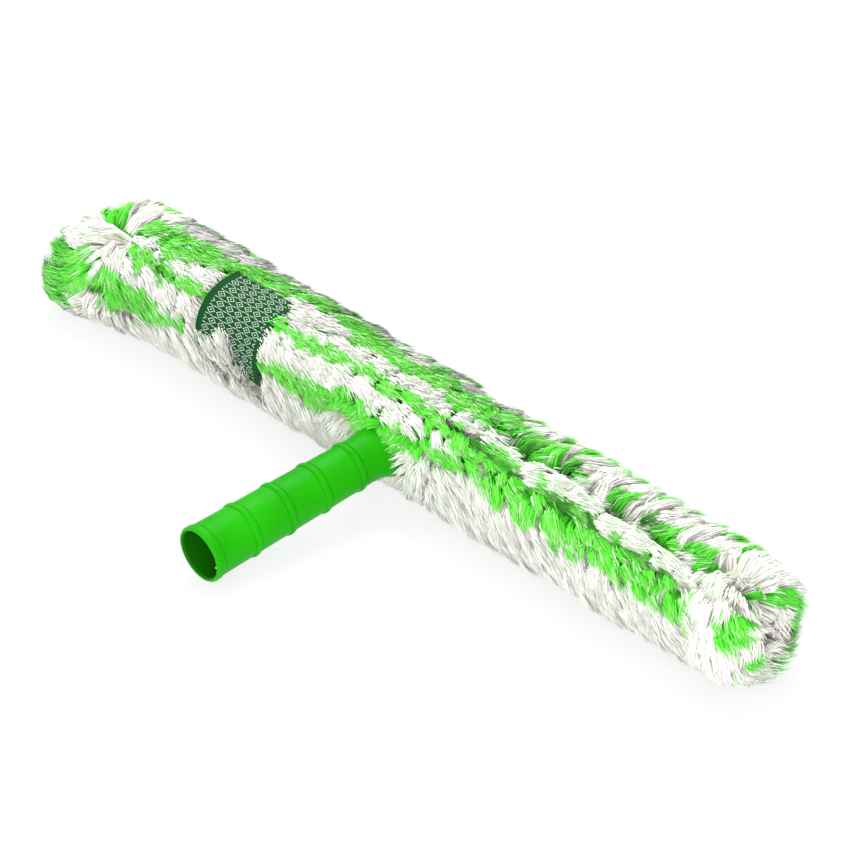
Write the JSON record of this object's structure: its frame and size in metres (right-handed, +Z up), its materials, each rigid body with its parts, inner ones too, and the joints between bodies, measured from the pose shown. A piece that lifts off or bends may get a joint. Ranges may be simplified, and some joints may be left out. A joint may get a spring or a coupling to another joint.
{
  "type": "window scrubber",
  "caption": "T-bar window washer: a ribbed tubular handle with a pole socket, and a crossbar in a striped pile sleeve with a hook-and-loop closure flap and a sewn-in label.",
  "frame": {"origin": "on the handle's axis at the mouth, where the straight wall of the pole socket begins", "axes": "+X along the crossbar, +Y from the handle's mouth to the crossbar, +Z up; the closure flap is on the -X half and opens towards -Y"},
  "size_m": [0.5464, 0.1811, 0.0633],
  "materials": {
    "moulded_plastic": "satin moulded plastic",
    "pile_cloth": "long green and off-white pile",
    "ground_cloth": "knitted",
    "tape": "hook and loop",
    "binding": "woven tape",
    "label_cloth": "woven satin",
    "thread": "twisted thread"
  },
  "bodies": {
    "washer": {"t_bar": "moulded_plastic", "ground_cloth": "ground_cloth", "pile_cloth": "pile_cloth", "neck_binding": "binding", "underlay_binding": "binding", "loop_tape": "tape", "closure_bar_tack": "thread", "front_seam_thread": "thread", "left_end_seam_thread": "thread", "right_end_seam_thread": "thread"},
    "closure_flap": {"flap_pile": "pile_cloth", "flap_ground_cloth": "ground_cloth", "flap_binding": "binding", "hook_tape": "tape", "label_stitching": "thread"},
    "label_tab": {"label": "label_cloth"}
  },
  "joints": [
    {"name": "flap_fold", "type": "hinge", "parent": "washer", "child": "closure_flap", "pos_m": [0, 0.156, 0.0317], "axis": [-1, 0, 0], "range_deg": [0, 110]},
    {"name": "label_lift", "type": "hinge", "parent": "closure_flap", "child": "label_tab", "pos_m": [0, 0.1195, -0.0012], "axis": [1, 0, 0], "range_deg": [0, 100]}
  ]
}
